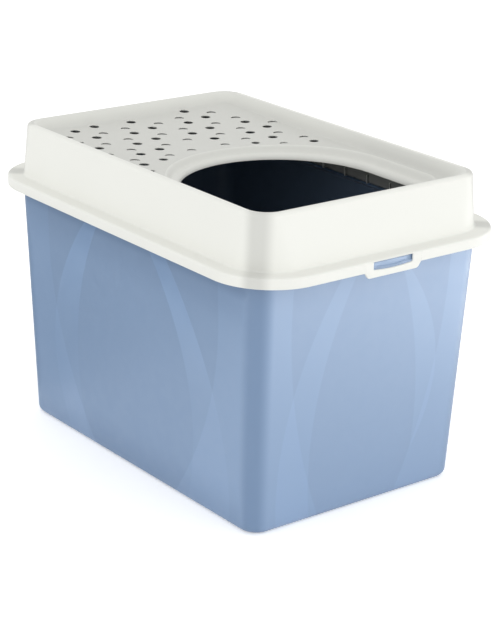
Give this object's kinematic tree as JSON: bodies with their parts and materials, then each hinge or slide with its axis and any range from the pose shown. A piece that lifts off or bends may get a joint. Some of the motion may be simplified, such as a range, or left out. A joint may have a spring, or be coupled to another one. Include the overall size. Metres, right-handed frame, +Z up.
{
  "type": "top entry litter box",
  "caption": "Deep tapered litter bin with a lift-off vented lid, a D-shaped top entry opening and a spring latch tab at each end.",
  "frame": {"origin": "on the ground under the centre of the box's bounding box", "axes": "+X along the length towards the end with the entry opening, +Y across the width, +Z up"},
  "size_m": [0.572, 0.4, 0.3977],
  "materials": {
    "bin_plastic": "satin moulded polypropylene, light blue",
    "lid_plastic": "satin moulded polypropylene, warm white"
  },
  "bodies": {
    "bin": {"bin": "bin_plastic"},
    "lid": {"lid": "lid_plastic"},
    "front_latch": {"front_latch": "lid_plastic"},
    "rear_latch": {"rear_latch": "lid_plastic"}
  },
  "joints": [
    {"name": "lid_lift", "type": "slide", "parent": "bin", "child": "lid", "axis": [0, 0, 1], "range_m": [0, 0.12]},
    {"name": "front_latch_flex", "type": "hinge", "parent": "lid", "child": "front_latch", "pos_m": [0.2848, 0, 0.329], "axis": [0, -1, 0], "range_deg": [0, 14], "stiffness_Nm_per_rad": 0.5},
    {"name": "rear_latch_flex", "type": "hinge", "parent": "lid", "child": "rear_latch", "pos_m": [-0.2848, 0, 0.329], "axis": [0, 1, 0], "range_deg": [0, 14], "stiffness_Nm_per_rad": 0.5}
  ]
}
